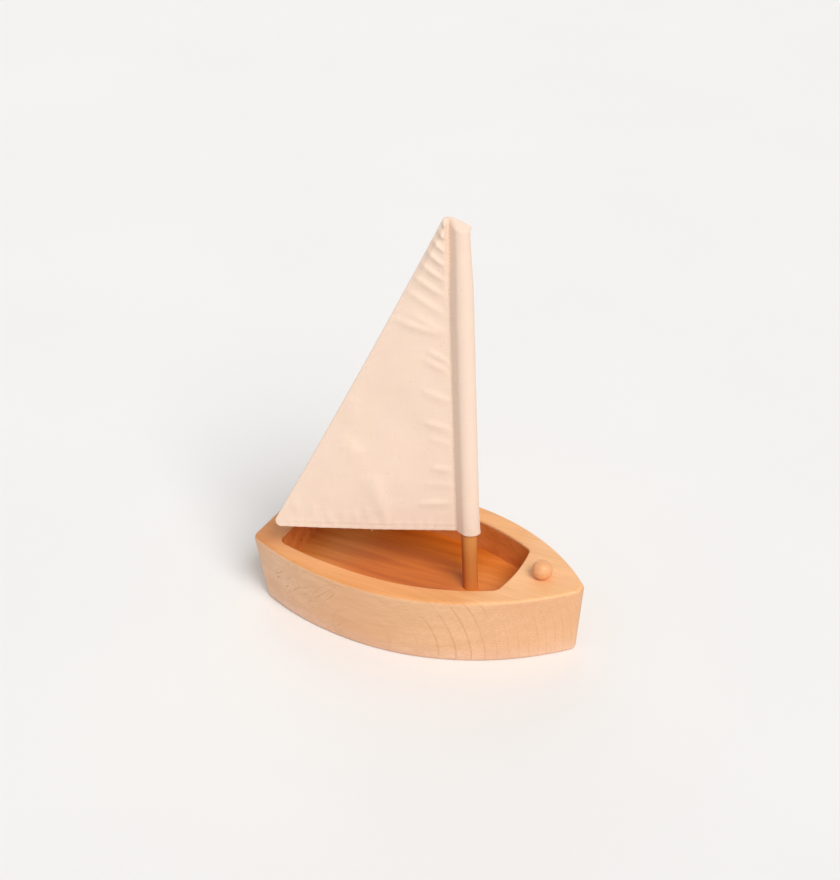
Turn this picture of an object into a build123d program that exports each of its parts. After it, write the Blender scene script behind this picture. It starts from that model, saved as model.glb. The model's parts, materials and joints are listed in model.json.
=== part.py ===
"""Wooden toy sailing boat with a cotton sail that swings round its mast.

Frame: X runs from the stern to the bow, Y to port, Z up. The origin is the middle of the
underside, so the boat stands on Z = 0. Millimetres.
"""

from build123d import *
import os
from math import acos, cos, hypot, radians, sin

os.makedirs("parts", exist_ok=True)

# Hull: one block of wood, sawn to a pointed plan with sides that lean in towards the bottom
hull_length = 220.0
hull_height = 48.5
beam = 119.0                # widest breadth, at the deck
widest_x = -14.5            # station of the widest breadth
transom_width = 72.0        # breadth of the flat stern, at the deck
stem_width = 7.6            # breadth of the blunt bow before its corners are rounded
side_lean = 6.1             # degrees that every side leans in on its way down
transom_corner_radius = 7.0
stem_corner_radius = 3.0
deck_edge_radius = 2.6
bottom_edge_radius = 2.2

# Cargo well, cut down from the deck with upright walls and a flat floor
well_depth = 22.2
well_stern_x = -91.0        # straight stern end
well_stern_width = 68.6
well_width = 89.6           # widest breadth, at widest_x
well_bow_x = 65.0           # middle of the rounded bow end
well_shoulder_x = 62.5      # where the sides meet the bow end
well_shoulder_width = 48.8
well_stern_corner_radius = 9.0
well_bow_corner_radius = 6.0
well_rim_radius = 1.2

# Mast: a plain dowel that stands loose in a blind socket in the floor of the well
mast_x = 31.5
mast_diameter = 10.0
mast_top = 279.0
mast_end_chamfer = 0.8
socket_depth = 18.0
socket_clearance = 0.05     # on the radius

# Knob: a turned ball on a tenon, glued into the foredeck
knob_x = 82.5
knob_diameter = 13.0
knob_centre_height = 5.6    # above the deck
tenon_diameter = 6.0
tenon_length = 12.0

# Sail: one piece of cotton folded round the mast, both layers sewn together behind it
sail_swing = 22.0           # degrees that the sail stands out to starboard at rest
sail_foot_height = 69.3
sail_reach = 125.3          # mast axis to the outer bottom corner
sail_peak_reach = 9.0       # mast axis to the top corner
sail_peak_height = 286.5
sail_leech_hollow = 1.8     # how far the sloping edge curves in
sail_clew_radius = 4.0
sail_thickness = 1.2        # both layers
pocket_radius = 6.4         # outside of the pocket, round the mast
pocket_bore_radius = 5.4
pocket_top_gap = 0.5        # cloth above the end of the mast
head_slope = 22.0           # degrees that the closed top of the pocket falls towards the luff
seam_reach = 8.0            # mast axis to the line of stitches that closes the pocket
foot_seam_rise = 3.2        # foot edge to its line of stitches
thread_width = 0.5
thread_height = 0.3         # how far a thread stands off the cloth

# Worked-out sizes
half_length = hull_length / 2
well_floor = hull_height - well_depth
mast_foot = well_floor - socket_depth
hull_stern_corner = (-half_length, transom_width / 2)
hull_bow_corner = (half_length, stem_width / 2)
well_stern_corner = (well_stern_x, well_stern_width / 2)
well_bow_corner = (well_shoulder_x, well_shoulder_width / 2)
thread_offset = sail_thickness / 2


def boat_plan(stern_corner, widest_point, bow_corner):
    """Both sides and the straight stern end of a boat-shaped outline, left open at the bow.

    Each side is two arcs that meet, level, at its widest point.
    """
    with BuildLine() as plan:
        TangentArc(widest_point, stern_corner, tangent=(-1, 0))
        TangentArc(widest_point, bow_corner, tangent=(1, 0))
        Line(stern_corner, (stern_corner[0], 0))
        mirror(about=Plane.XZ)
    return plan.edges()


# ---------------------------------------------------------------- hull
with BuildPart() as hull:
    with BuildSketch(Plane.XY.offset(hull_height)):
        with BuildLine():
            add(boat_plan(hull_stern_corner, (widest_x, beam / 2), hull_bow_corner))
            Line(hull_bow_corner, (half_length, -stem_width / 2))
        make_face()
    extrude(amount=-hull_height, taper=side_lean)
    upright_edges = hull.edges().filter_by_position(Axis.Z, 1, hull_height - 1)
    fillet(upright_edges.group_by(Axis.X)[0], transom_corner_radius)
    fillet(upright_edges.group_by(Axis.X)[-1], stem_corner_radius)
    fillet(hull.faces().sort_by(Axis.Z)[-1].edges(), deck_edge_radius)
    fillet(hull.faces().sort_by(Axis.Z)[0].edges(), bottom_edge_radius)

    with BuildSketch(Plane.XY.offset(hull_height)) as well_plan:
        with BuildLine():
            add(boat_plan(well_stern_corner, (widest_x, well_width / 2), well_bow_corner))
            ThreePointArc(
                well_bow_corner,
                (well_bow_x, 0),
                (well_shoulder_x, -well_shoulder_width / 2),
            )
        make_face()
        fillet(well_plan.vertices().group_by(Axis.X)[0], well_stern_corner_radius)
        fillet(well_plan.vertices().group_by(Axis.X)[-1], well_bow_corner_radius)
    extrude(amount=-well_depth, mode=Mode.SUBTRACT)
    deck_face = hull.faces().sort_by(Axis.Z)[-1]
    fillet(deck_face.inner_wires()[0].edges(), well_rim_radius)

    with Locations((mast_x, 0, well_floor)):
        Hole(radius=mast_diameter / 2 + socket_clearance, depth=socket_depth)
    with Locations((knob_x, 0, hull_height)):
        Hole(radius=tenon_diameter / 2, depth=tenon_length)
hull.part.label = "hull"
export_step(hull.part, "parts/hull.step")

# ---------------------------------------------------------------- mast
with BuildPart() as mast:
    with BuildSketch(Plane.XY.offset(mast_foot)):
        with Locations((mast_x, 0)):
            Circle(mast_diameter / 2)
    extrude(amount=mast_top - mast_foot)
    chamfer(mast.edges().group_by(Axis.Z)[0], mast_end_chamfer)
    chamfer(mast.edges().group_by(Axis.Z)[-1], mast_end_chamfer)
mast.part.label = "mast"
export_step(mast.part, "parts/mast.step")

# ---------------------------------------------------------------- bow knob
knob_radius = knob_diameter / 2
knob_base_radius = (knob_radius**2 - knob_centre_height**2) ** 0.5
knob_plane = Plane(origin=(knob_x, 0, hull_height), x_dir=(1, 0, 0), z_dir=(0, -1, 0))
with BuildPart() as bow_knob:
    with BuildSketch(knob_plane):
        with BuildLine():
            Polyline(
                (0, knob_centre_height + knob_radius),
                (0, -tenon_length),
                (tenon_diameter / 2, -tenon_length),
                (tenon_diameter / 2, 0),
                (knob_base_radius, 0),
            )
            ThreePointArc(
                (knob_base_radius, 0),
                (knob_radius, knob_centre_height),
                (0, knob_centre_height + knob_radius),
            )
        make_face()
    revolve(axis=Axis((knob_x, 0, 0), (0, 0, 1)))
bow_knob.part.label = "bow_knob"
export_step(bow_knob.part, "parts/bow_knob.step")

# ---------------------------------------------------------------- sail
# sail_plane stands upright through the mast: its x runs aft along the sail, its y runs up
aft = (-cos(radians(sail_swing)), -sin(radians(sail_swing)), 0)
to_port = (-sin(radians(sail_swing)), cos(radians(sail_swing)), 0)
sail_plane = Plane(origin=(mast_x, 0, 0), x_dir=aft, z_dir=to_port)
foot_plane = Plane(origin=(mast_x, 0, sail_foot_height), x_dir=aft, z_dir=(0, 0, 1))

# Where the pocket's straight sides leave its round front, on their way to the seam
throat = seam_reach - thread_width / 2
throat_angle = acos(pocket_radius / hypot(throat, sail_thickness / 2))
tangent_x = pocket_radius * cos(throat_angle)
tangent_y = pocket_radius * sin(throat_angle)

peak = Vector(sail_peak_reach, sail_peak_height)
clew = Vector(sail_reach, sail_foot_height)
leech = clew - peak
leech_middle = (peak + clew) / 2 + Vector(leech.Y, -leech.X).normalized() * sail_leech_hollow
head_plane = Plane(
    origin=sail_plane.from_local_coords((sail_peak_reach, sail_peak_height, 0)),
    x_dir=to_port,
    z_dir=Vector(aft) * -sin(radians(head_slope)) + Vector(0, 0, cos(radians(head_slope))),
)

with BuildPart() as sail:
    with BuildSketch(sail_plane) as sail_panel:
        with BuildLine():
            Polyline((peak.X, peak.Y), (0, peak.Y), (0, clew.Y), (clew.X, clew.Y))
            ThreePointArc((clew.X, clew.Y), (leech_middle.X, leech_middle.Y), (peak.X, peak.Y))
        make_face()
        fillet(sail_panel.vertices().sort_by(Axis.X)[-1], sail_clew_radius)
    extrude(amount=sail_thickness / 2, both=True)
    with BuildSketch(foot_plane):
        Circle(pocket_radius)
        with BuildLine():
            Polyline(
                (0, 0),
                (tangent_x, tangent_y),
                (throat, sail_thickness / 2),
                (throat, -sail_thickness / 2),
                (tangent_x, -tangent_y),
                close=True,
            )
        make_face()
    extrude(amount=sail_peak_height - sail_foot_height)
    split(bisect_by=head_plane, keep=Keep.BOTTOM)
    with BuildSketch(foot_plane):
        Circle(pocket_bore_radius)
    extrude(amount=mast_top + pocket_top_gap - sail_foot_height, mode=Mode.SUBTRACT)
sail.part.label = "sail"
export_step(sail.part, "parts/sail.step")

# ---------------------------------------------------------------- sewing threads
# A machine seam is two threads: the needle thread on the starboard face, the bobbin on port
pocket_seam_bottom = sail_foot_height + 0.6
pocket_seam_top = sail_peak_height - 6.0
foot_seam_height = sail_foot_height + foot_seam_rise
foot_seam_start = seam_reach + 1.5
foot_seam_end = sail_reach - 4.5
faces = {"needle": -1, "bobbin": 1}

for thread, side in faces.items():
    face_plane = sail_plane.offset(side * thread_offset)
    with BuildPart() as pocket_thread:
        with BuildSketch(face_plane):
            with Locations((seam_reach, (pocket_seam_bottom + pocket_seam_top) / 2)):
                Rectangle(thread_width, pocket_seam_top - pocket_seam_bottom)
        extrude(amount=side * thread_height)
    pocket_thread.part.label = "pocket_" + thread + "_thread"
    export_step(pocket_thread.part, "parts/pocket_" + thread + "_thread.step")

    with BuildPart() as foot_thread:
        with BuildSketch(face_plane):
            with Locations(((foot_seam_start + foot_seam_end) / 2, foot_seam_height)):
                Rectangle(foot_seam_end - foot_seam_start, thread_width)
        extrude(amount=side * thread_height)
    foot_thread.part.label = "foot_" + thread + "_thread"
    export_step(foot_thread.part, "parts/foot_" + thread + "_thread.step")
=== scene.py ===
"""Looks of the toy sailing boat: oiled wood, a sewn cotton sail and a plain studio.

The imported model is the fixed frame: X runs from the stern to the bow, Y to port, Z up, in metres.
"""

import json
import math
from types import SimpleNamespace

import bpy
import numpy as np
from bpy.props import FloatProperty, FloatVectorProperty, IntProperty, PointerProperty
from mathutils import Matrix, Vector, noise


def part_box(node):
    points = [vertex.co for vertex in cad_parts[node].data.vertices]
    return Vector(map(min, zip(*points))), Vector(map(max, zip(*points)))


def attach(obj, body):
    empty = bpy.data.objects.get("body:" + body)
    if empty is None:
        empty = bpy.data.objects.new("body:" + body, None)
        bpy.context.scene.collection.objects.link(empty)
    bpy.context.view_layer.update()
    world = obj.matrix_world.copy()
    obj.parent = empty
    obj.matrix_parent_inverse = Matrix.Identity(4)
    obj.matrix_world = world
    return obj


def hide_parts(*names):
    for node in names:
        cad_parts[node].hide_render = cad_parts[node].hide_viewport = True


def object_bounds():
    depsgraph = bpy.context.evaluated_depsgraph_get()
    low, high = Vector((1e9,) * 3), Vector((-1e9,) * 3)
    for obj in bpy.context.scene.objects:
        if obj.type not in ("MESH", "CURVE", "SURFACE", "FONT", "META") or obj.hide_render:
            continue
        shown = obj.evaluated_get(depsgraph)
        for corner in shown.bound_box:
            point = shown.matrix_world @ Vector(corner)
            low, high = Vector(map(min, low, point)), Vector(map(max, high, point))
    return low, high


bl_info = {
    "name": "Toy Sailing Boat",
    "version": (1, 0, 0),
    "blender": (4, 5, 0),
    "location": "View3D > Sidebar > Boat",
    "description": "Paints the wood, sews the sail and lights a toy sailing boat",
    "category": "Add Mesh",
}

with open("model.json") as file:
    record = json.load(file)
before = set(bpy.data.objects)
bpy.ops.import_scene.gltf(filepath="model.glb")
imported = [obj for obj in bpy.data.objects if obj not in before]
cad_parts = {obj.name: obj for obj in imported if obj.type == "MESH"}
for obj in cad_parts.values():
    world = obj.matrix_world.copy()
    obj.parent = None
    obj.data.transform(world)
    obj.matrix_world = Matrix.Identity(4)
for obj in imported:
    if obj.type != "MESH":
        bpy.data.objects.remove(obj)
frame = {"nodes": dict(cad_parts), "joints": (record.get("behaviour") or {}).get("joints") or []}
CAD_BOX = [list(corner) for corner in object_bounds()]

MM = 0.001
HULL_LOW, HULL_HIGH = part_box("hull")
SAIL_LOW, SAIL_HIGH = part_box("sail")
MAST_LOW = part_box("mast")[0]
KNOB_LOW, KNOB_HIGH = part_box("bow_knob")
MAST_AXIS = Vector(next(j["pos_m"] for j in frame["joints"] if j["name"] == "sail_swing"))
UNCHANGED = (1.0, 1.0, 1.0)     # a tone that leaves a colour as it is


# ---------------------------------------------------------------- values a user may change
class BoatWood(bpy.types.PropertyGroup):
    """Colours and grain of the hull, the mast and the knob."""

    deck: FloatVectorProperty(
        name="Deck", description="Oiled wood seen from above", subtype="COLOR",
        default=(0.83, 0.375, 0.135), min=0, max=1,
    )
    foredeck: FloatVectorProperty(
        name="Foredeck", description="Deck round the knob, where the oil has stayed paler",
        subtype="COLOR", default=(0.92, 0.53, 0.265), min=0, max=1,
    )
    low_side: FloatVectorProperty(
        name="Low sides", description="Outside of the hull near the underside", subtype="COLOR",
        default=(0.80, 0.52, 0.38), min=0, max=1,
    )
    wall: FloatVectorProperty(
        name="Well walls", description="Upright walls of the cargo well", subtype="COLOR",
        default=(0.71, 0.25, 0.064), min=0, max=1,
    )
    # Painted shade: this colour is darker than the well floor. It is partly the wood's own tone and partly
    # the shade of the sail that stands over the floor behind the mast.
    well_aft_shaded: FloatVectorProperty(
        name="Well aft", description="Floor of the cargo well towards the stern", subtype="COLOR",
        default=(0.61, 0.145, 0.010), min=0, max=1,
    )
    side: FloatVectorProperty(
        name="Sides", description="The same wood on the outside of the hull, paler and pinker",
        subtype="COLOR", default=(0.80, 0.465, 0.262), min=0, max=1,
    )
    well: FloatVectorProperty(
        name="Well floor", description="Floor of the cargo well, where the oil has darkened the wood",
        subtype="COLOR", default=(0.79, 0.245, 0.044), min=0, max=1,
    )
    dowel: FloatVectorProperty(
        name="Mast", description="Oiled birch dowel", subtype="COLOR",
        default=(0.66, 0.245, 0.060), min=0, max=1,
    )
    ball: FloatVectorProperty(
        name="Knob", description="Turned light hardwood", subtype="COLOR",
        default=(0.84, 0.42, 0.195), min=0, max=1,
    )
    ring_gap: FloatProperty(
        name="Ring gap", description="Distance from one growth ring to the next", unit="LENGTH",
        default=3.6 * MM, min=0.5 * MM, max=10 * MM,
    )


class BoatSail(bpy.types.PropertyGroup):
    """Cut and sewing of the sail."""

    swing: FloatProperty(
        name="Swing", description="How far the sail stands out to starboard at rest", unit="ROTATION",
        default=math.radians(22),
    )
    cloth: FloatProperty(
        name="Cloth", description="Thickness of one layer of cotton", unit="LENGTH",
        default=0.32 * MM, min=0.1 * MM, max=0.6 * MM,
    )
    seam: FloatProperty(
        name="Pocket seam", description="Mast axis to the stitches that close the pocket",
        unit="LENGTH", default=8.0 * MM,
    )
    reach: FloatProperty(
        name="Reach", description="Mast axis to the outermost point of the bottom corner", unit="LENGTH",
        default=124.1 * MM,
    )
    pocket: FloatProperty(
        name="Pocket", description="Outside radius of the pocket round the mast", unit="LENGTH",
        default=6.8 * MM,
    )
    foot_seam: FloatProperty(
        name="Foot seam", description="Foot edge to its stitches", unit="LENGTH", default=3.2 * MM,
    )
    yarn_gap: FloatProperty(
        name="Yarn gap", description="Distance from one yarn of the weave to the next",
        unit="LENGTH", default=0.42 * MM,
    )
    cotton: FloatVectorProperty(
        name="Cotton", description="Unbleached cotton", subtype="COLOR",
        default=(0.855, 0.665, 0.545), min=0, max=1,
    )
    stitch: FloatProperty(
        name="Stitch", description="Length of one stitch", unit="LENGTH", default=2.6 * MM,
    )
    thread: FloatProperty(
        name="Thread", description="Thickness of the sewing thread", unit="LENGTH", default=0.42 * MM,
    )
    thread_colour: FloatVectorProperty(
        name="Thread colour", description="Spun cotton thread", subtype="COLOR",
        default=(0.92, 0.74, 0.60), min=0, max=1,
    )


class BoatStage(bpy.types.PropertyGroup):
    """Floor, light and camera."""

    azimuth: FloatProperty(
        name="Azimuth", description="Where the camera stands round the boat", unit="ROTATION",
        default=math.radians(29.07),
    )
    elevation: FloatProperty(
        name="Elevation", description="Height of the camera above the horizon", unit="ROTATION",
        default=math.radians(31.1),
    )
    roll: FloatProperty(
        name="Roll", description="Turn of the camera about its own line of sight", unit="ROTATION",
        default=math.radians(-2.43),
    )
    distance: FloatProperty(
        name="Distance", description="Camera to the point it looks at", unit="LENGTH", default=1.1874,
    )
    lens: FloatProperty(name="Lens", description="Focal length in millimetres", default=77.73)
    key: FloatProperty(name="Main light", description="Strength of the soft light over the bow", default=2.42)
    key_spread: FloatProperty(
        name="Main light spread", description="How wide the main light is, seen from the boat",
        unit="ROTATION", default=math.radians(30),
    )
    fill: FloatProperty(name="Fill light", description="Strength of the low light from behind", default=0.8)
    fill_spread: FloatProperty(
        name="Fill light spread", description="How wide the fill light is, seen from the boat",
        unit="ROTATION", default=math.radians(70),
    )
    room: FloatProperty(name="Room light", description="Strength of the pale room", default=0.405)


# ---------------------------------------------------------------- shader nodes
def put(tree, kind, inputs=(), **settings):
    """A new node. inputs gives a number, or the output of another node, for a socket."""
    made = tree.nodes.new("ShaderNode" + kind)
    for name, value in settings.items():
        setattr(made, name, value)
    for socket, value in dict(inputs).items():
        if isinstance(value, bpy.types.NodeSocket):
            tree.links.new(value, made.inputs[socket])
        else:
            made.inputs[socket].default_value = value
    return made


def maths(tree, operation, *values):
    """One step of arithmetic on numbers or outputs."""
    return put(tree, "Math", enumerate(values), operation=operation).outputs[0]


def product(tree, first, *others):
    """Numbers or outputs multiplied together."""
    for value in others:
        first = maths(tree, "MULTIPLY", first, value)
    return first


def vectors(tree, operation, *values):
    """One step of arithmetic on vectors. A length or a dot product is a number."""
    made = put(tree, "VectorMath", enumerate(values), operation=operation)
    return made.outputs["Value" if operation in ("LENGTH", "DOT_PRODUCT") else "Vector"]


def between(tree, value, low, high, to_low=0.0, to_high=1.0):
    """Eases from to_low to to_high while value goes from low to high."""
    inputs = {"Value": value, "From Min": low, "From Max": high, "To Min": to_low, "To Max": to_high}
    return put(tree, "MapRange", inputs, interpolation_type="SMOOTHSTEP").outputs["Result"]


def with_alpha(colour):
    """A colour as a socket takes it, or the output that gives one."""
    return colour if isinstance(colour, bpy.types.NodeSocket) else (*colour[:3], 1.0)


def blend_colours(tree, factor, under, over, blend="MIX"):
    """One colour laid over another. A Mix node takes its colours at sockets 6 and 7."""
    inputs = {0: factor, 6: with_alpha(under), 7: with_alpha(over)}
    return put(tree, "Mix", inputs, data_type="RGBA", blend_type=blend).outputs[2]


def tone_over(tree, colour, value, low, high):
    """The colour multiplied by low where value is 0 and by high where it is 1."""
    return blend_colours(tree, 1.0, colour, blend_colours(tree, value, low, high), "MULTIPLY")


def stretched(tree, position, scale):
    """The place on the piece, stretched differently along each axis."""
    return put(tree, "Mapping", {"Vector": position, "Scale": scale}).outputs["Vector"]


def cloudy(tree, position, size, detail=2.0, roughness=0.5, distortion=0.0):
    """Soft random patches of about that size, from 0 to 1."""
    inputs = {"Vector": position, "Scale": 1 / size, "Detail": detail}
    inputs |= {"Roughness": roughness, "Distortion": distortion}
    return put(tree, "TexNoise", inputs, noise_dimensions="3D").outputs["Fac"]


def new_material(name, roughness, **surface):
    """A material and its shader, with the values that are the same all over."""
    material = bpy.data.materials.new(name)
    material.use_nodes = True
    shader = material.node_tree.nodes["Principled BSDF"]
    shader.inputs["Roughness"].default_value = roughness
    for socket, value in surface.items():
        shader.inputs[socket.replace("_", " ")].default_value = value
    return material, material.node_tree, shader


def join_up(tree, shader, colour, roughness, relief, strength, depth):
    """Gives the shader its colour, its roughness and a fine relief of that depth."""
    bump = put(tree, "Bump", {"Strength": strength, "Distance": depth, "Height": relief})
    for socket, value in (("Base Color", colour), ("Roughness", roughness), ("Normal", bump.outputs[0])):
        tree.links.new(value, shader.inputs[socket])


def paint(node_name, material):
    """Gives a piece of the frame its finish."""
    piece = frame["nodes"][node_name]
    piece.data.materials.clear()
    piece.data.materials.append(material)
    piece.data.shade_smooth()


# ---------------------------------------------------------------- wood
def growth_rings(tree, position, pith, slope, gap, direction, wander):
    """Thin late-wood lines, 0 to 1, round a pith line that slopes off the piece's length."""
    sway = 2.4      # how many ring gaps the lines wander
    drift = cloudy(tree, stretched(tree, position, wander), 1.0, 1.0)
    across = vectors(tree, "MULTIPLY", vectors(tree, "SUBTRACT", position, pith), direction)
    tilt = vectors(tree, "DOT_PRODUCT", position, slope)
    radius = maths(tree, "ADD", vectors(tree, "LENGTH", across), tilt)
    wandered = maths(tree, "MULTIPLY_ADD", drift, sway * gap, radius)
    turn = maths(tree, "FRACT", maths(tree, "DIVIDE", wandered, gap))
    return product(tree, between(tree, turn, 0.84, 0.95), between(tree, turn, 1.0, 0.96))


def hull_regions(tree):
    """The place on the hull, and where its well, deck and sides are, each from 0 to 1."""
    place = put(tree, "TexCoord")
    position, facing = place.outputs["Object"], place.outputs["Normal"]
    along, across, height = put(tree, "SeparateXYZ", {0: position}).outputs
    deck = HULL_HIGH.z
    upward = between(tree, put(tree, "SeparateXYZ", {0: facing}).outputs[2], 0.35, 0.8)
    outward = vectors(tree, "DOT_PRODUCT", facing, position)
    below_deck = between(tree, height, deck - 0.3 * MM, deck - 2.5 * MM)
    inner_wall = product(tree, between(tree, outward, 12 * MM, -6 * MM), below_deck)
    well_floor = product(tree, between(tree, height, deck - 4 * MM, deck - 8 * MM), upward)
    on_deck = product(tree, upward, between(tree, height, deck - 3 * MM, deck - 1 * MM))
    in_well = maths(tree, "MAXIMUM", well_floor, product(tree, inner_wall, 0.8))
    return SimpleNamespace(
        position=position, along=along, across=across, height=height, upward=upward,
        inner_wall=inner_wall, well_floor=well_floor, on_deck=on_deck, in_well=in_well,
    )


def hull_ground(tree, values, hull):
    """The oil is deepest in the well and has left the foredeck and the sides paler. Painted light is laid on
    too: a painted highlight on the deck's port half, a painted shadow of the sail on the aft deck, and
    painted shade on the well floor behind the mast.
    """
    foredeck = between(tree, hull.along, HULL_HIGH.x * 0.32, HULL_HIGH.x * 0.66)
    # Painted highlight: the deck's port half is blended towards the paler foredeck colour, for the brighter
    # sheen on the far side of the deck.
    port_highlight = between(tree, hull.across, HULL_LOW.y * 0.5, HULL_HIGH.y * 0.7, 0.0, 0.38)
    deck = blend_colours(tree, maths(tree, "MAXIMUM", foredeck, port_highlight), values.deck, values.foredeck)
    # Painted shadow: the aft end of the deck is painted darker where the sail's shadow falls.
    stern = between(tree, hull.along, HULL_LOW.x * 0.70, HULL_LOW.x * 0.92)
    deck = tone_over(tree, deck, stern, UNCHANGED, (0.86, 0.79, 0.71))

    low = between(tree, hull.height, HULL_HIGH.z * 0.30, 0.0)
    side = blend_colours(tree, product(tree, low, 0.7), values.side, values.low_side)
    aft = between(tree, hull.along, -20 * MM, -90 * MM)
    side = tone_over(tree, side, aft, UNCHANGED, (1.05, 1.13, 1.26))

    # Painted shade: behind the mast the floor blends to the darker aft colour. This is partly the wood's tone
    # and partly the sail's shade over it.
    sail_shade_behind_mast = between(tree, hull.along, 44 * MM, 12 * MM)
    floor = blend_colours(tree, sail_shade_behind_mast, values.well, values.well_aft_shaded)
    by_stern = between(tree, hull.along, -34 * MM, -78 * MM)
    floor = tone_over(tree, floor, by_stern, UNCHANGED, (1.12, 1.58, 4.2))

    ground = blend_colours(tree, hull.on_deck, side, deck)
    ground = blend_colours(tree, hull.inner_wall, ground, values.wall)
    return blend_colours(tree, hull.well_floor, ground, floor)


def hull_mottling(tree, ground, hull, streaks, fibres):
    """Moves the colour a little to either side of its ground. The well shows its streaks most."""
    soft = between(tree, streaks, 0.30, 0.72)
    soft = tone_over(tree, ground, soft, (0.955, 0.925, 0.88), (1.03, 1.04, 1.05))
    strong = between(tree, streaks, 0.32, 0.66)
    strong = tone_over(tree, ground, strong, (0.90, 0.80, 0.64), (1.08, 1.16, 1.26))
    colour = blend_colours(tree, hull.in_well, soft, strong)
    patches = cloudy(tree, stretched(tree, hull.position, (0.5, 1, 1)), 38 * MM, 2.0)
    patches = between(tree, patches, 0.35, 0.68)
    colour = tone_over(tree, colour, patches, (0.985, 0.955, 0.93), (1.01, 1.03, 1.04))
    fibres = between(tree, fibres, 0.25, 0.75)
    return tone_over(tree, colour, fibres, (0.93, 0.89, 0.85), (1.04, 1.05, 1.06))


def ring_strength(tree, hull):
    """A cluster of clear arcs on the sides forward of the mast, faint everywhere else."""
    cluster = product(
        tree, between(tree, hull.along, 20 * MM, 34 * MM), between(tree, hull.along, 70 * MM, 54 * MM),
    )
    bow = between(tree, hull.along, 50 * MM, 70 * MM, 0.10, 0.17)
    uneven_oil = between(tree, cloudy(tree, hull.position, 30 * MM, 1.0), 0.35, 0.62, 0.35, 1.0)
    return product(
        tree, maths(tree, "MULTIPLY_ADD", cluster, 0.29, bow), uneven_oil,
        between(tree, hull.upward, 0.0, 1.0, 1.0, 0.35),
        between(tree, hull.inner_wall, 0.0, 1.0, 1.0, 0.2),
    )


def saw_marks(tree, hull, streaks):
    """Fine level lines that the saw left along the bow's sides."""
    line_gap = 1.45 * MM
    wave = maths(tree, "SINE", maths(tree, "MULTIPLY", hull.height, 2 * math.pi / line_gap))
    return product(
        tree, between(tree, wave, 0.2, 1.0), between(tree, hull.along, 44 * MM, 78 * MM),
        between(tree, hull.upward, 0.5, 0.0), between(tree, streaks, 0.35, 0.60),
    )


def stern_flecks(tree, hull):
    """Short dark flecks, in groups, that slant across the sides near the stern."""
    inputs = {"Vector": hull.position, "Rotation": (0.0, -0.75, 0.0), "Scale": (20.0, 4.0, 1.0)}
    slanted = put(tree, "Mapping", inputs, vector_type="TEXTURE").outputs["Vector"]
    groups = between(tree, cloudy(tree, hull.position, 17 * MM, 0.0), 0.52, 0.60)
    return product(
        tree, between(tree, cloudy(tree, slanted, 1.3 * MM, 1.0), 0.63, 0.70), groups,
        between(tree, hull.along, -8 * MM, -60 * MM), between(tree, hull.upward, 0.6, 0.0),
    )


def hull_wood(values):
    """Oiled light hardwood: one block, so its rings run on from the deck down the sides."""
    material, tree, shader = new_material("Hull_Wood", 0.46, Specular_IOR_Level=0.38)
    hull = hull_regions(tree)
    fibres = cloudy(tree, stretched(tree, hull.position, (0.035, 1, 1)), 0.9 * MM, 4.0, 0.62)
    streaks = cloudy(tree, stretched(tree, hull.position, (0.10, 1, 1)), 7 * MM, 3.0, 0.55, 0.4)
    late_wood = growth_rings(
        tree, hull.position, pith=(0.0, -178 * MM, -4.5 * MM), slope=(0.01, 0.0, 0.0),
        gap=values.ring_gap, direction=(0, 1, 1), wander=(6.0, 12.0, 12.0),
    )
    sawn = saw_marks(tree, hull, streaks)
    # The deck's rounded rim is rubbed a little paler by hands
    worn = between(tree, put(tree, "NewGeometry").outputs["Pointiness"], 0.505, 0.56)

    colour = hull_mottling(tree, hull_ground(tree, values, hull), hull, streaks, fibres)
    for mark, tone in (
        (product(tree, late_wood, ring_strength(tree, hull)), (0.62, 0.42, 0.26)),
        (product(tree, sawn, 0.7), (0.86, 0.74, 0.64)),
        (product(tree, stern_flecks(tree, hull), 0.55), (0.62, 0.38, 0.22)),
        (product(tree, worn, 0.3), (1.07, 1.10, 1.14)),
    ):
        colour = tone_over(tree, colour, mark, UNCHANGED, tone)

    rough = between(tree, fibres, 0.2, 0.8, 0.40, 0.56)
    relief = maths(tree, "ADD", fibres, product(tree, late_wood, 0.35))
    relief = maths(tree, "MULTIPLY_ADD", sawn, -0.3, relief)
    join_up(tree, shader, colour, rough, relief, 0.30, 0.10 * MM)
    return material


def dowel_wood(values):
    """Oiled dowel: straight grain along its length, broken by short dark pores."""
    material, tree, shader = new_material("Mast_Wood", 0.44, Specular_IOR_Level=0.42)
    position = put(tree, "TexCoord").outputs["Object"]
    along, _, height = put(tree, "SeparateXYZ", {0: position}).outputs
    late_wood = growth_rings(
        tree, position, pith=(MAST_AXIS.x + 14 * MM, -9 * MM, 0.0), slope=(0.0, 0.0, 0.02),
        gap=1.7 * MM, direction=(1, 1, 0), wander=(40.0, 40.0, 8.0),
    )
    fibres = cloudy(tree, stretched(tree, position, (1, 1, 0.03)), 0.7 * MM, 4.0, 0.6)
    pores = cloudy(tree, stretched(tree, position, (1, 1, 0.12)), 0.5 * MM, 1.0)
    streaks = between(tree, fibres, 0.25, 0.75)
    colour = tone_over(tree, values.dowel, streaks, (0.94, 0.91, 0.87), (1.04, 1.06, 1.06))
    colour = tone_over(tree, colour, product(tree, late_wood, 0.22), UNCHANGED, (0.68, 0.55, 0.42))
    colour = blend_colours(tree, between(tree, pores, 0.70, 0.82, 0.0, 0.25), colour, (0.22, 0.07, 0.02))
    # The side towards the stern is painted darker and more saturated as painted shade, and the colour grows
    # lighter towards the top
    aft = between(tree, along, MAST_AXIS.x + 1 * MM, MAST_LOW.x + 0.6 * MM)
    colour = tone_over(tree, colour, aft, UNCHANGED, (0.76, 0.44, 0.21))
    colour = tone_over(tree, colour, between(tree, height, 46 * MM, 68 * MM), UNCHANGED, (1.02, 1.14, 1.26))
    rough = between(tree, fibres, 0.2, 0.8, 0.36, 0.55)
    join_up(tree, shader, colour, rough, fibres, 0.4, 0.1 * MM)
    return material


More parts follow.
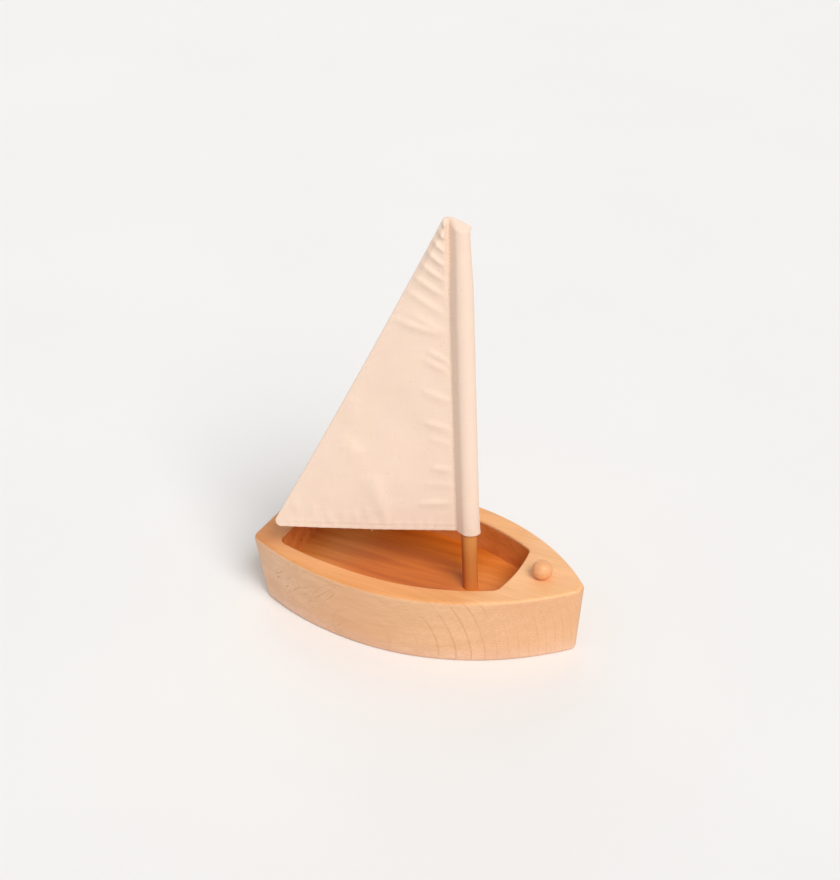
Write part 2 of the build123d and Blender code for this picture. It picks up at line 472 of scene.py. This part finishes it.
def turned_wood(values):
    """Light turned wood: grain along the boat's length and fine tool rings round the ball."""
    material, tree, shader = new_material("Knob_Wood", 0.42, Specular_IOR_Level=0.42)
    position = put(tree, "TexCoord").outputs["Object"]
    height = put(tree, "SeparateXYZ", {0: position}).outputs[2]
    middle = (KNOB_LOW.x + KNOB_HIGH.x) / 2
    late_wood = growth_rings(
        tree, position, pith=(middle, 6 * MM, KNOB_HIGH.z + 9 * MM), slope=(0.05, 0.0, 0.0),
        gap=1.5 * MM, direction=(0, 1, 1), wander=(40.0, 60.0, 60.0),
    )
    fibres = cloudy(tree, stretched(tree, position, (0.06, 1, 1)), 0.6 * MM, 4.0, 0.6)
    ring_gap = 0.45 * MM
    tool_rings = maths(tree, "SINE", maths(tree, "MULTIPLY", height, 2 * math.pi / ring_gap))
    streaks = between(tree, fibres, 0.25, 0.75)
    colour = tone_over(tree, values.ball, streaks, (0.90, 0.84, 0.78), (1.06, 1.08, 1.10))
    colour = tone_over(tree, colour, product(tree, late_wood, 0.3), UNCHANGED, (0.78, 0.64, 0.50))
    rough = between(tree, fibres, 0.2, 0.8, 0.36, 0.50)
    relief = maths(tree, "ADD", fibres, product(tree, tool_rings, 0.12))
    join_up(tree, shader, colour, rough, relief, 0.3, 0.08 * MM)
    return material


class BOAT_OT_paint_hull(bpy.types.Operator):
    """Finish the hull as one block of oiled light hardwood"""

    bl_idname = "boat.paint_hull"
    bl_label = "Paint Hull"

    def execute(self, context):
        paint("hull", hull_wood(context.scene.boat_wood))
        return {"FINISHED"}


class BOAT_OT_paint_mast(bpy.types.Operator):
    """Finish the mast as an oiled dowel"""

    bl_idname = "boat.paint_mast"
    bl_label = "Paint Mast"

    def execute(self, context):
        paint("mast", dowel_wood(context.scene.boat_wood))
        return {"FINISHED"}


class BOAT_OT_paint_knob(bpy.types.Operator):
    """Finish the knob as a turned ball"""

    bl_idname = "boat.paint_knob"
    bl_label = "Paint Knob"

    def execute(self, context):
        paint("bow_knob", turned_wood(context.scene.boat_wood))
        return {"FINISHED"}


# ---------------------------------------------------------------- shape of the sewn sail
# Soft folds: both ends, as (share of the way from the pocket's stitches to the leech, share of the
# height), then half width and how far each stands to starboard, in millimetres
SOFT_FOLDS = (
    ((0.95, 0.70), (0.15, 0.65), 1.7, 1.1),
    ((0.90, 0.45), (0.85, 0.35), 3.6, 0.9),
    ((0.80, 0.30), (0.65, 0.25), 3.4, 1.0),
    ((0.55, 0.20), (0.40, 0.05), 4.2, 1.3),
    ((0.95, 0.10), (0.90, 0.05), 1.6, 0.7),
)


def ease(value, low, high):
    """0 below low, 1 above high and smooth between them."""
    t = np.clip((value - low) / (high - low), 0.0, 1.0)
    return t * t * (3 - 2 * t)


def uneven(step, kind):
    """A steady random number, about -1 to 1, for one of a row of like creases."""
    return 1.6 * noise.noise(Vector((1.37 * step, kind, 0.5)))


def crease(u, z, points, width, rise):
    """A soft ridge along the points, steeper on one side, that fades out at both ends."""
    nearest = np.full(u.shape, np.inf)
    across = np.zeros(u.shape)
    reached = np.zeros(u.shape)
    walked = 0.0
    for start, end in zip(points, points[1:]):
        length = math.dist(start, end)
        way_u, way_z = (end[0] - start[0]) / length, (end[1] - start[1]) / length
        gone = np.clip((u - start[0]) * way_u + (z - start[1]) * way_z, 0.0, length)
        off_u, off_z = u - start[0] - gone * way_u, z - start[1] - gone * way_z
        away = np.hypot(off_u, off_z)
        closer = away < nearest
        nearest = np.where(closer, away, nearest)
        across = np.where(closer, np.sign(off_u * way_z - off_z * way_u) * away, across)
        reached = np.where(closer, walked + gone, reached)
        walked += length
    spread = np.where(across > 0, width, 1.9 * width)
    fade = np.sin(math.pi * np.clip(reached / walked, 0.02, 0.98)) ** 0.6
    return rise * fade * np.exp(-((nearest / spread) ** 2))


def waves(u, z, size, seed):
    """Smooth random waves of about that size, from -1 to 1."""
    flat = [noise.noise(Vector((a / size, b / size, seed))) for a, b in zip(u.ravel(), z.ravel())]
    return np.array(flat).reshape(u.shape)


class SailShape:
    """The sewn sail in its own plane, in millimetres: u aft of the mast axis, w to port, z up."""

    peak_reach = 9.6            # where the leech would meet the head if the peak were sharp
    peak_radius = 3.2
    level_reach = 4.4           # the head runs level this far forward, then falls to the luff
    ear_reach = -6.4            # the luff end of the closed head stands a little proud
    ear_drop = 5.9
    hollow = 1.3                # how far the leech curves in
    clew_radius = 4.0
    hem = 6.5                   # width of the turned-in edges
    dome = 5.0                  # height over which the pocket closes over the end of the mast
    flare = 0.6                 # how far the pocket's mouth opens at the luff
    luff_dip = 1.3              # how much lower the mouth hangs at the luff than at the seam
    wall_angle = math.radians(38.0)     # which way the pocket's wall faces beside the stitches
    draw_in = 1.2               # how far the stitches lean towards the mast at the top
    snug = 1.2                  # how much tighter the pocket is round the top of the mast
    panel = 117.0               # length of the shallow hollow behind the stitches
    pleats, pulls, gathers = 7, 9, 6    # how many creases there are at the peak, the pocket and the foot

    def __init__(self, values):
        self.foot = SAIL_LOW.z / MM
        self.peak = SAIL_HIGH.z / MM - 0.3
        self.reach = values.reach / MM
        self.seam = values.seam / MM
        self.pocket = values.pocket / MM
        self.foot_seam = values.foot_seam / MM
        self.throat_angle = math.acos(self.pocket / self.seam)
        self.throat_length = math.sqrt(self.seam**2 - self.pocket**2)
        self.round_length = (math.pi - self.throat_angle) * self.pocket
        lean = math.atan2(self.reach - self.peak_reach, self.peak - self.foot)
        self.clew_u = self.reach - self.clew_radius
        self.clew_z = self.foot + self.clew_radius
        self.leave_u = self.clew_u + self.clew_radius * math.cos(lean)
        self.leave_z = self.clew_z + self.clew_radius * math.sin(lean)
        self.turn_z = self.peak - self.peak_radius * (1 - math.sin(lean))
        self.turn_u = self.peak_reach + math.tan(lean) * (self.peak - self.turn_z)
        self.folds = [*self.soft_folds(), *self.peak_pleats(), *self.pocket_pulls(), *self.foot_gathers()]

    def leech(self, z):
        """How far aft the sloping edge is at each height."""
        part = np.clip((z - self.leave_z) / (self.turn_z - self.leave_z), 0.0, 1.0)
        sloping = self.leave_u + (self.turn_u - self.leave_u) * part
        sloping -= 4 * self.hollow * part * (1 - part)
        low = self.rounded(z - self.clew_z, self.clew_radius) + self.clew_u
        high = self.rounded(z - self.peak + self.peak_radius, self.peak_radius)
        high += self.turn_u - self.rounded(self.turn_z - self.peak + self.peak_radius, self.peak_radius)
        return np.where(z < self.leave_z, low, np.where(z > self.turn_z, high, sloping))

    def rounded(self, rise, radius):
        """Half breadth of a circle at a height above its middle."""
        return np.sqrt(np.maximum(radius**2 - np.asarray(rise) ** 2, 0.0))

    def stitch_line(self, z):
        """How far aft the pocket's stitches are: straight, then drawn forward by the peak."""
        return np.minimum(self.seam - self.draw_in * ease(z, 222.0, 274.0), self.leech(z) - 0.7)

    def soft_folds(self):
        """Broad shallow folds that lie where the cloth was handled."""
        for first, last, width, rise in SOFT_FOLDS:
            ends = []
            for across, up in (first, last):
                z = self.foot + up * (self.peak - self.foot)
                stitches = self.stitch_line(z)
                ends.append((stitches + across * (self.leech(z) - stitches), z))
            yield ends, width, rise

    def peak_pleats(self):
        """Pleats that run forward and down from the leech, closest together at the peak."""
        for k in range(self.pleats):
            top = self.peak - 1.5 - 5.0 * k - 0.4 * k**2
            fall = 3.5 + 2.2 * k
            start = self.leech(top) - 0.4
            end = self.stitch_line(top - fall) + 1.0 + 0.4 * k
            bend = (end + 0.42 * (start - end), top - 0.58 * fall)
            rise = 1.9 - 0.15 * k + 0.3 * uneven(k, 2.5)
            yield ((start, top), bend, (end, top - fall)), 0.7 + 0.15 * k, rise

    def pocket_pulls(self):
        """Short creases that the pocket's stitches pull into the cloth, steeper towards the peak."""
        for k in range(self.pulls):
            low = self.foot + 17.0 + 15.5 * k + 7.0 * uneven(k, 1.5)
            tilt = math.radians(-6.0 + 40.0 * ease(low, self.foot, 200.0))
            length = 18.0 + 9.0 * uneven(k, 13.5)
            end = self.stitch_line(low) + 1.5
            start = (end + length * math.cos(tilt), low + length * math.sin(tilt))
            yield (start, (end, low)), 1.5 + 0.7 * uneven(k, 8.5), 0.75 + 0.5 * uneven(k, 6.5)

    def foot_gathers(self):
        """Short upright ripples that the foot's stitches gather into the cloth."""
        low = self.foot + self.foot_seam
        for k in range(self.gathers):
            reach = 53.0 + 8.5 * k + 2.5 * uneven(k, 3.5)
            height = 13.0 + 7.0 * uneven(k, 5.5)
            yield ((reach + 1.5, low + height), (reach, low)), 1.5, 0.60 + 0.15 * uneven(k, 7.5)

    def drop(self, u, z):
        """How far both layers of the flat part stand to port of the sail's plane."""
        clear = u - self.stitch_line(z)
        from_leech = self.leech(z) - u
        soft = 1.6 * waves(u, z, 62.0, 3.1) + 0.70 * waves(u, z, 24.0, 7.7)
        soft = soft + 0.16 * waves(u, z, 9.0, 1.9)
        soft = soft * (0.4 + 0.6 * ease(z - self.foot, 0.0, 40.0))
        belly = -0.9 * np.sin(math.pi * np.clip((u - self.seam) / self.panel, 0, 1))
        total = (soft + belly) * ease(clear, 0.0, 26.0) * (0.35 + 0.65 * ease(from_leech, 0.0, 30.0))
        for points, width, rise in self.folds:
            total = total - crease(u, z, points, width, rise) * ease(clear, -0.5, 2.5)
        shoulder = ease(z, 230.0, 268.0) * ease(self.peak - z, 0.0, 5.0)
        total = total - 3.1 * ease(clear, 0.1, 2.8) * shoulder * (0.35 + 0.65 * ease(from_leech, 0.0, 4.0))
        # The seams draw the cloth up into small ripples that die out away from the stitches
        above_foot = z - self.foot
        ripple = np.sin(u * 0.92 + 1.7 * waves(u, z, 17.0, 4.4))
        ripple = ripple * np.exp(-((above_foot - self.foot_seam) / 5.5) ** 2)
        total += 0.13 * ripple * ease(clear, 2.0, 9.0)
        tug = np.sin(z * 0.78 + 2.2 * waves(u, z, 19.0, 8.8) + 0.5 * clear)
        tug = tug * np.exp(-((clear / 4.5) ** 2))
        total += 0.10 * tug * ease(clear, 0.3, 1.6)
        pull = np.sin(z * 0.80 - 0.6 * from_leech + 2.0 * waves(u, z, 21.0, 5.5))
        total += 0.11 * pull * np.exp(-((from_leech / 6.0) ** 2)) * ease(z, 90.0, 200.0)
        return total

    def half_thickness(self, u, z):
        """Plane of the sail to the outside of either layer, over the flat part."""
        above_foot = z - self.foot
        from_leech = self.leech(z) - u
        clear = u - self.stitch_line(z)
        hem = np.maximum(1 - ease(above_foot, self.hem - 0.8, self.hem), 1 - ease(from_leech, 5.2, 6.2))
        half = 0.43 + 0.15 * hem
        half -= 0.18 * np.exp(-(((above_foot - self.foot_seam) / 0.55) ** 2)) * ease(clear, 0.5, 2.0)
        half -= 0.10 * np.exp(-((clear / 0.9) ** 2))
        edge = np.minimum(np.clip(from_leech / 0.55, 0, 1), 1.0)
        bottom = np.clip(above_foot / 0.5, 0, 1)
        rounded = np.sqrt(1 - (1 - edge) ** 2) * (0.35 + 0.65 * np.sqrt(1 - (1 - bottom) ** 2))
        return half * rounded


def sail_rows(shape, rows):
    """Heights of the mesh's rows, from 0 at the foot to 1 at the head, closer at both ends."""
    foot = [0.0, 0.12, 0.35, 0.8, 1.4, 2.0, 2.6, 3.2, 3.8, 4.5, 5.3, 6.1, 6.9]
    head = [8.0, 6.6, 5.4, 4.4, 3.5, 2.7, 2.0, 1.4, 0.9, 0.5, 0.22, 0.06, 0.0]
    tall = shape.peak - shape.foot
    share = np.linspace(0.0, 1.0, rows)
    share = 0.60 * share + 0.40 * (1 - (1 - share) ** 2)
    middle = foot[-1] + 1.1 + (tall - head[0] - foot[-1] - 2.0) * share
    return np.concatenate([foot, middle, tall - np.array(head)]) / tall


def panel_points(shape, columns, share):
    """The flat part's rows: columns crowd towards the leech, which is rounded, and the stitches."""
    across = np.linspace(0.0, 1.0, columns)[None, :]
    across = across - 0.10 * np.sin(2 * math.pi * across) / math.pi
    rounding = np.array([0.0, 0.12, 0.40, 0.70])[None, :]
    z = shape.foot + share * (shape.peak - shape.foot)
    leech, stitches = shape.leech(z), shape.stitch_line(z)
    strip = np.minimum(0.6, 0.3 * (leech - stitches))
    edge = leech - strip * rounding
    inner = leech - strip + (stitches - leech + strip) * across
    u = np.concatenate([edge, inner], axis=1)
    return u, z + 0 * u


def pocket_points(shape, columns, share, seam_u, edge_half):
    """The pocket's rows: a straight throat, then round the mast, then closing to a line at the head."""
    path = np.linspace(0.0, 1.0, columns + 1)[None, 1:]
    walked = path * (shape.throat_length + shape.round_length)
    head_start = seam_u[-1:]
    head_u = head_start + (shape.ear_reach - head_start) * path
    fall = np.clip((shape.level_reach - head_u) / (shape.level_reach - shape.ear_reach), 0, 1)
    top = shape.peak - shape.ear_drop * fall
    z = shape.foot + share * (top - shape.foot)
    mouth = np.exp(-(z - shape.foot) / 9.0)
    front = np.clip(path * 1.6 - 0.6, 0, 1) ** 1.5
    z = z - shape.luff_dip * front * mouth

    radius = shape.pocket - shape.snug * ease(z, 232.0, 277.0) + shape.flare * mouth * front
    radius = radius + 0.20 * waves(walked + 0 * z, z, 16.0, 6.3) * np.sin(math.pi * path)
    turned = np.clip(walked - shape.throat_length, 0, None) / shape.pocket + shape.throat_angle
    wall = seam_u * math.cos(shape.wall_angle) / np.cos(np.clip(turned - shape.wall_angle, -1.3, 1.3))
    radius = -0.25 * np.logaddexp(-radius / 0.25, -wall / 0.25)

    in_throat = np.clip(walked / shape.throat_length, 0, 1)
    throat_u = seam_u + (radius * math.cos(shape.throat_angle) - seam_u) * in_throat
    throat_w = edge_half + (radius * math.sin(shape.throat_angle) - edge_half) * in_throat
    round_w = radius * np.sin(turned) * (1 - 0.07 * mouth)
    u = np.where(walked < shape.throat_length, throat_u, radius * np.cos(turned))
    w = np.where(walked < shape.throat_length, throat_w, round_w)
    free = np.clip(walked / 2.0, 0, 1)
    w = w * (0.25 + 0.75 * free) + edge_half * 0.75 * (1 - free)

    left = np.clip((top - z) / (shape.dome * (1 - 0.36 * fall)), 0, 1)
    closing = 0.75 * left + 0.25 * np.sqrt(1 - (1 - left) ** 2)
    u = head_u + (u - head_u) * (0.4 * closing + 0.6 * ease(left, 0.0, 1.0))
    return u, z, w * closing + 0.12 * (1 - closing)


def sail_grid(shape, panel_columns, pocket_columns, rows):
    """The starboard half, row by row from the leech to the luff: aft, up, to port, and half thickness."""
    share = sail_rows(shape, rows)[:, None]
    u, z = panel_points(shape, panel_columns, share)
    w = shape.drop(u, z)
    half = shape.half_thickness(u, z)
    pocket_u, pocket_z, pocket_half = pocket_points(shape, pocket_columns, share, u[:, -1:], half[:, -1:])
    pairs = ((u, pocket_u), (z, pocket_z), (w, 0 * pocket_u), (half, pocket_half))
    return [np.concatenate(pair, axis=1) for pair in pairs]


def sail_frame(values):
    """From the sail's plane in millimetres to the boat's frame in metres."""
    aft = Vector((-math.cos(values.swing), -math.sin(values.swing), 0))
    port = Vector((-math.sin(values.swing), math.cos(values.swing), 0))
    place = Matrix((aft, port, Vector((0, 0, 1)))).transposed().to_4x4()
    return Matrix.Translation((MAST_AXIS.x, MAST_AXIS.y, 0)) @ place @ Matrix.Scale(MM, 4)


def closed_ring_mesh(name, points, lengths, heights, place):
    """A tube of rings, open at both ends, with its path round and its height as cloth coordinates."""
    rows, columns = points.shape[:2]
    mesh = bpy.data.meshes.new(name)
    faces = []
    corners = []
    for j in range(rows - 1):
        for i in range(columns):
            n = (i + 1) % columns
            here, above = j * columns, (j + 1) * columns
            faces.append((here + i, here + n, above + n, above + i))
            around = ((j, i), (j, i + 1), (j + 1, i + 1), (j + 1, i))
            corners.extend((lengths[r, c], heights[r, c % columns]) for r, c in around)
    mesh.from_pydata([place @ Vector(p) for p in points.reshape(-1, 3)], [], faces)
    cloth = mesh.uv_layers.new(name="Cloth")
    cloth.data.foreach_set("uv", np.array(corners, np.float32).ravel() * MM)
    mesh.shade_smooth()
    mesh.validate()
    return mesh


def cotton(values):
    """Unbleached plain-weave cotton with slubs, a few dark specks and a soft sheen."""
    material, tree, shader = new_material(
        "Sail_Cotton", 0.9, Specular_IOR_Level=0.18, Sheen_Weight=0.22, Sheen_Roughness=0.45,
    )
    cloth = put(tree, "UVMap", uv_map="Cloth").outputs["UV"]
    parts = put(tree, "SeparateXYZ", {0: cloth}).outputs
    wobble = cloudy(tree, cloth, 6 * MM, 2.0)
    pitch = math.pi / values.yarn_gap
    warp = maths(tree, "SINE", maths(tree, "MULTIPLY_ADD", parts[0], pitch, product(tree, wobble, 5.0)))
    weft = maths(tree, "SINE", maths(tree, "MULTIPLY_ADD", parts[1], pitch, product(tree, wobble, 4.0)))
    weave = product(tree, warp, weft)
    up_yarns = cloudy(tree, stretched(tree, cloth, (1, 0.03, 1)), 0.5 * MM, 3.0, 0.6)
    cross_yarns = cloudy(tree, stretched(tree, cloth, (0.03, 1, 1)), 0.5 * MM, 3.0, 0.6)
    slubs = maths(tree, "ADD", product(tree, up_yarns, 0.5), product(tree, cross_yarns, 0.5))
    patches = cloudy(tree, cloth, 14 * MM, 2.0)
    crossings = maths(tree, "MULTIPLY_ADD", weave, 0.5, 0.5)
    cells = put(
        tree, "TexVoronoi", {"Vector": cloth, "Scale": 1 / (9 * MM), "Randomness": 1.0},
        voronoi_dimensions="2D",
    )
    chosen = put(tree, "SeparateColor", {0: cells.outputs["Color"]}).outputs[0]
    speck = product(
        tree, between(tree, cells.outputs["Distance"], 0.040, 0.018),
        maths(tree, "GREATER_THAN", chosen, 0.82), 0.55,
    )

    colour = values.cotton
    for value, low, high in (
        (between(tree, slubs, 0.36, 0.64), (0.975, 0.97, 0.96), (1.015, 1.018, 1.02)),
        (between(tree, patches, 0.35, 0.65), (1.0, 0.994, 1.0), (1.0, 1.006, 0.993)),
        (crossings, (0.965, 0.96, 0.95), (1.025, 1.025, 1.025)),
    ):
        colour = tone_over(tree, colour, value, low, high)
    colour = blend_colours(tree, speck, colour, (0.36, 0.20, 0.11))
    rough = between(tree, slubs, 0.3, 0.7, 0.82, 0.95)
    relief = maths(tree, "MULTIPLY_ADD", weave, 0.30, product(tree, slubs, 0.9))
    join_up(tree, shader, colour, rough, relief, 0.45, 0.10 * MM)
    return material


class BOAT_OT_sew_sail(bpy.types.Operator):
    """Cut the cotton, fold it round the mast and sew both layers together"""

    bl_idname = "boat.sew_sail"
    bl_label = "Sew Sail"

    panel_columns: IntProperty(name="Panel columns", default=86, min=20, max=200)
    pocket_columns: IntProperty(name="Pocket columns", default=24, min=8, max=64)
    rows: IntProperty(name="Rows", default=168, min=40, max=400)

    def execute(self, context):
        values = context.scene.boat_sail
        shape = SailShape(values)
        u, z, middle, half = sail_grid(shape, self.panel_columns, self.pocket_columns, self.rows)
        starboard = np.stack([u, middle - half, z], axis=2)
        port = np.stack([u, middle + half, z], axis=2)[:, -2:0:-1]
        points = np.concatenate([starboard, port], axis=1)
        closed = np.concatenate([points, points[:, :1]], axis=1)
        steps = np.linalg.norm(np.diff(closed, axis=1), axis=2)
        lengths = np.concatenate([np.zeros((len(steps), 1)), np.cumsum(steps, axis=1)], axis=1)
        # Rows are lined up at the luff, where the cloth is folded along its own yarns
        lengths -= lengths[:, u.shape[1] - 1:u.shape[1]]
        mesh = closed_ring_mesh("cotton_sail", points, lengths, points[:, :, 2], sail_frame(values))
        mesh.materials.append(cotton(values))
        piece = bpy.data.objects.new("cotton_sail", mesh)
        context.scene.collection.objects.link(piece)
        inside = piece.modifiers.new("Cloth thickness", "SOLIDIFY")
        inside.thickness = values.cloth
        inside.offset = -1
        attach(piece, "sail")
        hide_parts("sail")
        return {"FINISHED"}


# ---------------------------------------------------------------- sewing threads
def tube(line, radius, sides=6):
    """Points and faces of a thin closed tube along a line, drawn in at both ends."""
    points, faces = [], []
    for k, place in enumerate(line):
        way = (line[min(k + 1, len(line) - 1)] - line[max(k - 1, 0)]).normalized()
        side = way.orthogonal().normalized()
        other = way.cross(side)
        thick = radius * (0.55 if k in (0, len(line) - 1) else 1.0)
        for s in range(sides):
            turn = 2 * math.pi * s / sides
            points.append(place + thick * (math.cos(turn) * side + math.sin(turn) * other))
    for k in range(len(line) - 1):
        for s in range(sides):
            n = (s + 1) % sides
            faces.append((k * sides + s, k * sides + n, (k + 1) * sides + n, (k + 1) * sides + s))
    faces.append(tuple(reversed(range(sides))))
    last = (len(line) - 1) * sides
    faces.append(tuple(range(last, last + sides)))
    return points, faces


def seam(shape, values, path, length, side):
    """Stitches in a row on one face of the sail; path gives u and z for a distance along it."""
    count = round(length / (values.stitch / MM))
    needle_gap = 0.10           # share of a stitch between it and the next, at either end
    lift = np.array([-0.22, 0.08, 0.18, 0.18, 0.08, -0.22])     # each stitch dives in at both ends
    lines = []
    for k in range(count):
        first, last = (k + needle_gap) * length / count, (k + 1 - needle_gap) * length / count
        u, z = path(np.linspace(first, last, len(lift)))
        w = shape.drop(u, z) + side * (shape.half_thickness(u, z) + lift)
        lines.append([Vector(p) for p in zip(u, w, z)])
    return lines


def spun_cotton(values):
    """Sewing thread with its twist."""
    material, tree, shader = new_material("Sewing_Thread", 0.8, Specular_IOR_Level=0.25, Sheen_Weight=0.2)
    position = put(tree, "TexCoord").outputs["Object"]
    strands = put(
        tree, "TexWave", {"Vector": position, "Scale": 1100.0, "Distortion": 1.2, "Detail": 1.0},
        wave_type="BANDS", bands_direction="DIAGONAL",
    ).outputs["Fac"]
    fuzz = cloudy(tree, position, 0.8 * MM, 2.0)
    twist = product(tree, strands, fuzz)
    colour = tone_over(tree, values.thread_colour, twist, (0.86, 0.84, 0.80), (1.1, 1.1, 1.1))
    rough = between(tree, fuzz, 0.2, 0.8, 0.7, 0.9)
    join_up(tree, shader, colour, rough, strands, 0.5, 0.05 * MM)
    return material


class BOAT_OT_stitch_seams(bpy.types.Operator):
    """Stitch the pocket and the foot with a needle thread to starboard and a bobbin thread to port"""

    bl_idname = "boat.stitch_seams"
    bl_label = "Stitch Seams"

    def execute(self, context):
        values = context.scene.boat_sail
        shape = SailShape(values)
        material = spun_cotton(values)
        low, foot_start = shape.foot + 1.0, shape.seam + 1.5
        seams = {
            "pocket": (
                lambda steps: (shape.stitch_line(low + steps), low + steps),
                shape.peak - 6.0 - low,
            ),
            "foot": (
                lambda steps: (foot_start + steps, shape.foot + shape.foot_seam + 0 * steps),
                shape.reach - 3.9 - foot_start,
            ),
        }
        for name, (path, length) in seams.items():
            for thread, side in (("needle", -1), ("bobbin", 1)):
                lines = seam(shape, values, path, length, side)
                if name == "foot" and thread == "needle":
                    lines.append(self.loose_end(shape))
                piece = self.thread_piece(context, name + "_" + thread + "_stitches", lines, values, material)
                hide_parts(name + "_" + thread + "_thread")
        return {"FINISHED"}

    def loose_end(self, shape):
        """A short thread end that was left hanging below the foot."""
        reach = shape.reach / 2
        curl = [
            (1.0, -0.6, 1.6), (0.6, -0.95, 0.5), (0.2, -0.8, -0.6), (-0.2, -0.5, -1.5), (0.0, -0.3, -2.0),
        ]
        return [Vector((reach + u, w, shape.foot + rise)) for u, w, rise in curl]

    def thread_piece(self, context, name, lines, values, material):
        """One thread of a seam as a mesh in the boat's frame."""
        points, faces = [], []
        for line in lines:
            tube_points, tube_faces = tube(line, values.thread / MM / 2)
            faces.extend(tuple(len(points) + corner for corner in face) for face in tube_faces)
            points.extend(tube_points)
        place = sail_frame(values)
        mesh = bpy.data.meshes.new(name)
        mesh.from_pydata([place @ p for p in points], [], faces)
        mesh.shade_smooth()
        mesh.materials.append(material)
        piece = bpy.data.objects.new(name, mesh)
        context.scene.collection.objects.link(piece)
        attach(piece, "sail")
        return piece


# ---------------------------------------------------------------- stage
class BOAT_OT_set_stage(bpy.types.Operator):
    """Lay a pale floor, hang the soft light and set the camera"""

    bl_idname = "boat.set_stage"
    bl_label = "Set Stage"

    light_from = (0.81, -0.59, 1.0)
    fill_from = (-0.75, 0.85, 0.25)
    floor_half = 4.0
    aim_aft = 1.16 * MM         # the camera looks at a point this far aft of the middle
    aim_height = 0.4478         # and at this share of the height

    def execute(self, context):
        values = context.scene.boat_stage
        self.floor(context)
        self.soft_light(context, "Main_Light", self.light_from, values.key, values.key_spread)
        self.soft_light(context, "Fill_Light", self.fill_from, values.fill, values.fill_spread)
        world = bpy.data.worlds.new("Studio")
        world.use_nodes = True
        room = world.node_tree.nodes["Background"]
        room.inputs["Color"].default_value = (1.0, 0.99, 0.985, 1.0)
        room.inputs["Strength"].default_value = values.room
        context.scene.world = world
        context.scene.view_settings.view_transform = "Standard"
        self.camera(context, values)
        return {"FINISHED"}

    def floor(self, context):
        """A wide pale floor with a barely uneven paper tone."""
        half = self.floor_half
        corners = [(-half, -half, 0), (half, -half, 0), (half, half, 0), (-half, half, 0)]
        mesh = bpy.data.meshes.new("floor")
        mesh.from_pydata(corners, [], [(0, 1, 2, 3)])
        material, tree, shader = new_material("Floor_Paper", 0.7, Specular_IOR_Level=0.2)
        position = put(tree, "TexCoord").outputs["Object"]
        paper = cloudy(tree, position, 0.2, 2.0)
        tone = blend_colours(tree, paper, (0.88, 0.875, 0.87), (0.91, 0.905, 0.90))
        tree.links.new(tone, shader.inputs["Base Color"])
        mesh.materials.append(material)
        floor = bpy.data.objects.new("floor", mesh)
        context.scene.collection.objects.link(floor)

    def soft_light(self, context, name, light_from, strength, spread):
        """A wide soft light, far off in one direction."""
        lamp = bpy.data.lights.new(name, "SUN")
        lamp.energy = strength
        lamp.angle = spread
        lamp.color = (1.0, 0.99, 0.97)
        piece = bpy.data.objects.new(name, lamp)
        piece.rotation_mode = "QUATERNION"
        piece.rotation_quaternion = Vector(light_from).to_track_quat("Z", "Y")
        context.scene.collection.objects.link(piece)

    def camera(self, context, values):
        """A long lens that looks down on the starboard bow."""
        low, high = Vector(CAD_BOX[0]), Vector(CAD_BOX[1])
        looked_at = Vector(((low.x + high.x) / 2 - self.aim_aft, 0, high.z * self.aim_height))
        level = Vector((math.sin(values.azimuth), -math.cos(values.azimuth), 0))
        back = level * math.cos(values.elevation) + Vector((0, 0, math.sin(values.elevation)))
        right = Vector((0, 0, 1)).cross(back).normalized()
        up = back.cross(right)
        tilted = right * math.cos(values.roll) + up * math.sin(values.roll)
        lens = bpy.data.cameras.new("Camera")
        lens.lens = values.lens
        lens.sensor_width = 36
        lens.clip_start, lens.clip_end = 0.05, 20
        camera = bpy.data.objects.new("Camera", lens)
        turn = Matrix((tilted, back.cross(tilted), back)).transposed().to_4x4()
        camera.matrix_world = Matrix.Translation(looked_at + back * values.distance) @ turn
        context.scene.collection.objects.link(camera)
        context.scene.camera = camera


class BOAT_PT_sidebar(bpy.types.Panel):
    """Sizes, colours and steps of the boat."""

    bl_idname = "BOAT_PT_sidebar"
    bl_label = "Toy Sailing Boat"
    bl_space_type = "VIEW_3D"
    bl_region_type = "UI"
    bl_category = "Boat"

    def draw(self, context):
        for operator in OPERATORS:
            self.layout.operator(operator.bl_idname)
        for group in GROUPS:
            values = getattr(context.scene, group)
            box = self.layout.box()
            for name in values.__annotations__:
                box.prop(values, name)


OPERATORS = (
    BOAT_OT_paint_hull,
    BOAT_OT_paint_mast,
    BOAT_OT_paint_knob,
    BOAT_OT_sew_sail,
    BOAT_OT_stitch_seams,
    BOAT_OT_set_stage,
)
GROUPS = {"boat_wood": BoatWood, "boat_sail": BoatSail, "boat_stage": BoatStage}


def register():
    for group in (*GROUPS.values(), *OPERATORS, BOAT_PT_sidebar):
        bpy.utils.register_class(group)
    for name, group in GROUPS.items():
        setattr(bpy.types.Scene, name, PointerProperty(type=group))


def unregister():
    for name in GROUPS:
        delattr(bpy.types.Scene, name)
    for group in (BOAT_PT_sidebar, *reversed(OPERATORS), *reversed(GROUPS.values())):
        bpy.utils.unregister_class(group)


def main():
    """Makes every piece in order."""
    register()
    bpy.ops.boat.paint_hull()
    bpy.ops.boat.paint_mast()
    bpy.ops.boat.paint_knob()
    bpy.ops.boat.sew_sail()
    bpy.ops.boat.stitch_seams()
    bpy.ops.boat.set_stage()


if __name__ == "__main__":
    main()
